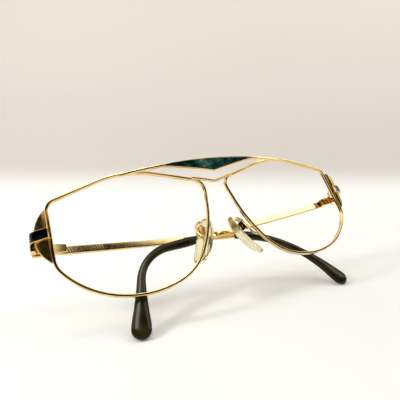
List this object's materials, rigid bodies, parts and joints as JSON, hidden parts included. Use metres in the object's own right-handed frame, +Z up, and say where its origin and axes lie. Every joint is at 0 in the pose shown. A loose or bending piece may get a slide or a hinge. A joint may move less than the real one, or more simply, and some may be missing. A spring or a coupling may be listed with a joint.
{
  "type": "folded spectacle frame",
  "caption": "Metal spectacle frame with a brow bar, enamel inlay, dished end plates, hinged temples with hooked plastic tips and rocking nose pads, folded and standing on its tips.",
  "frame": {"origin": "on the table, under the middle of the folded glasses' bounding box, as they stand on their two tips", "axes": "+X across the face towards the wearer's left, +Y back towards the wearer, +Z up from the table"},
  "size_m": [0.1508, 0.0406, 0.0576],
  "materials": {
    "polished_gold": "polished pale gold plating",
    "brushed_gold": "finely brushed gold plating",
    "teal_enamel": "glossy dark teal enamel with marbling",
    "dark_enamel": "glossy near-black green enamel",
    "olive_acetate": "polished dark olive acetate",
    "pad_plastic": "soft translucent yellowish plastic",
    "screw_steel": "gold-washed steel"
  },
  "bodies": {
    "front": {"brow_bar": "polished_gold", "brow_enamel": "teal_enamel", "bridge_bar": "polished_gold", "rim_right": "polished_gold", "rim_left": "polished_gold", "wing_right": "brushed_gold", "wing_left": "brushed_gold", "strap_right": "polished_gold", "strap_left": "polished_gold", "enamel_band_right": "dark_enamel", "enamel_band_left": "dark_enamel", "closing_block_upper_right": "polished_gold", "closing_block_upper_left": "polished_gold", "closing_block_lower_right": "polished_gold", "closing_block_lower_left": "polished_gold", "closing_screw_right": "screw_steel", "closing_screw_left": "screw_steel", "hinge_front_leaf_right": "polished_gold", "hinge_front_leaf_left": "polished_gold", "hinge_screw_right": "screw_steel", "hinge_screw_left": "screw_steel", "pad_arm_right": "polished_gold", "pad_arm_left": "polished_gold", "pad_box_right": "polished_gold", "pad_box_left": "polished_gold", "pad_pin_right": "screw_steel", "pad_pin_left": "screw_steel"},
    "temple_right": {"temple_leaf_right": "polished_gold", "temple_bar_right": "polished_gold", "temple_tip_right": "olive_acetate"},
    "temple_left": {"temple_leaf_left": "polished_gold", "temple_bar_left": "polished_gold", "temple_tip_left": "olive_acetate"},
    "nose_pad_right": {"nose_pad_right": "pad_plastic"},
    "nose_pad_left": {"nose_pad_left": "pad_plastic"}
  },
  "joints": [
    {"name": "temple_right_hinge", "type": "hinge", "parent": "front", "child": "temple_right", "pos_m": [-0.07231, 0.0135, 0.02705], "axis": [0.06, 0.6685, 0.7413], "range_deg": [0, 85.9]},
    {"name": "temple_left_hinge", "type": "hinge", "parent": "front", "child": "temple_left", "pos_m": [0.07226, 0.0135, 0.03433], "axis": [0.1342, -0.6685, -0.7315], "range_deg": [0, 88.4]},
    {"name": "nose_pad_right_pivot", "type": "hinge", "parent": "front", "child": "nose_pad_right", "pos_m": [-0.01133, 0.00339, 0.02772], "axis": [0.3905, -0.8101, 0.4374], "range_deg": [-5, 5]},
    {"name": "nose_pad_left_pivot", "type": "hinge", "parent": "front", "child": "nose_pad_left", "pos_m": [0.00846, 0.00284, 0.028], "axis": [-0.4324, -0.8101, 0.3959], "range_deg": [-5, 5]}
  ]
}
